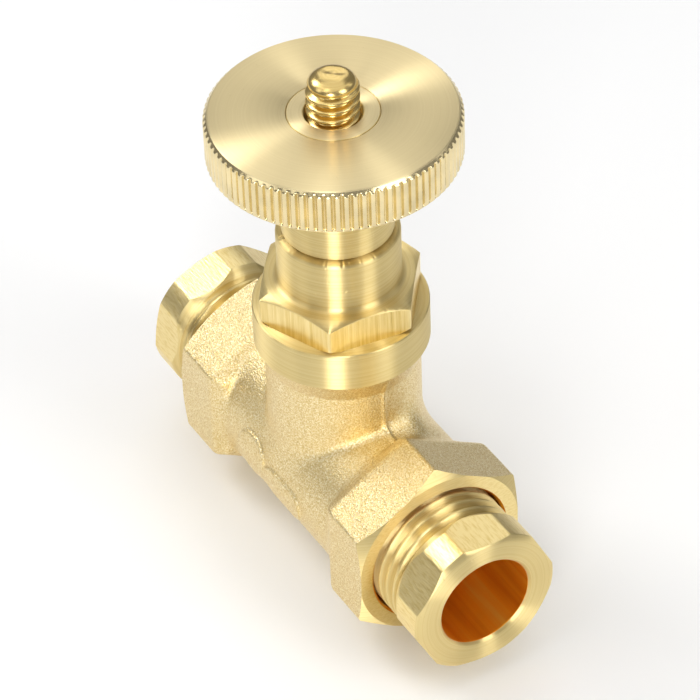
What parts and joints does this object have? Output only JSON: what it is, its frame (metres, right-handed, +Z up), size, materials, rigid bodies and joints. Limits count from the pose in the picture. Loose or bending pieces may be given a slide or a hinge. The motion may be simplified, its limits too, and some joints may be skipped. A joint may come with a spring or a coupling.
{
  "type": "needle valve",
  "caption": "Small brass globe-pattern needle valve: knurled handwheel on a rising threaded spindle, hexagon bonnet, and a male compression nut with an olive at each port.",
  "frame": {"origin": "where the port axis and the spindle axis cross", "axes": "+X along the ports towards the inlet nut, +Z up along the spindle towards the handwheel"},
  "size_m": [0.0634, 0.03, 0.0707],
  "materials": {
    "forged_brass": "forged and sandblasted brass with machined faces",
    "turned_brass": "bright turned brass",
    "copper_washer": "annealed copper",
    "wheel_brass": "face-turned and knurled brass",
    "black_steel": "blackened steel",
    "needle_steel": "ground stainless steel",
    "spring_steel": "drawn spring steel",
    "nitrile": "black nitrile rubber"
  },
  "bodies": {
    "body": {"body": "forged_brass", "bonnet": "turned_brass", "bonnet_washer": "copper_washer"},
    "needle": {"needle": "needle_steel"},
    "spindle": {"spindle": "turned_brass", "spindle_o_ring_lower": "nitrile", "spindle_o_ring_upper": "nitrile", "needle_clip": "spring_steel", "hub": "turned_brass", "hub_screw": "black_steel", "handwheel": "wheel_brass"},
    "front_olive": {"front_olive": "turned_brass"},
    "front_nut": {"front_nut": "turned_brass"},
    "rear_olive": {"rear_olive": "turned_brass"},
    "rear_nut": {"rear_nut": "turned_brass"}
  },
  "joints": [
    {"name": "needle_lift", "type": "slide", "parent": "body", "child": "needle", "axis": [0, 0, 1], "range_m": [0, 0.00508]},
    {"name": "handwheel_turn", "type": "hinge", "parent": "needle", "child": "spindle", "pos_m": [0, 0, 0.0526], "axis": [0, 0, 1], "range_deg": [0, 1440]},
    {"name": "front_olive_slide", "type": "slide", "parent": "body", "child": "front_olive", "axis": [1, 0, 0], "range_m": [-0.0015, 0.003]},
    {"name": "front_nut_turn", "type": "hinge", "parent": "front_olive", "child": "front_nut", "pos_m": [0.0317, 0, 0], "axis": [1, 0, 0], "range_deg": [-360, 720]},
    {"name": "rear_olive_slide", "type": "slide", "parent": "body", "child": "rear_olive", "axis": [-1, 0, 0], "range_m": [-0.0015, 0.003]},
    {"name": "rear_nut_turn", "type": "hinge", "parent": "rear_olive", "child": "rear_nut", "pos_m": [-0.0317, 0, 0], "axis": [-1, 0, 0], "range_deg": [-360, 720]}
  ],
  "couplings": [
    {"joint": "needle_lift", "follows": "handwheel_turn", "m_per_rad": 0.00020213},
    {"joint": "front_olive_slide", "follows": "front_nut_turn", "m_per_rad": 0.00023873},
    {"joint": "rear_olive_slide", "follows": "rear_nut_turn", "m_per_rad": 0.00023873}
  ]
}
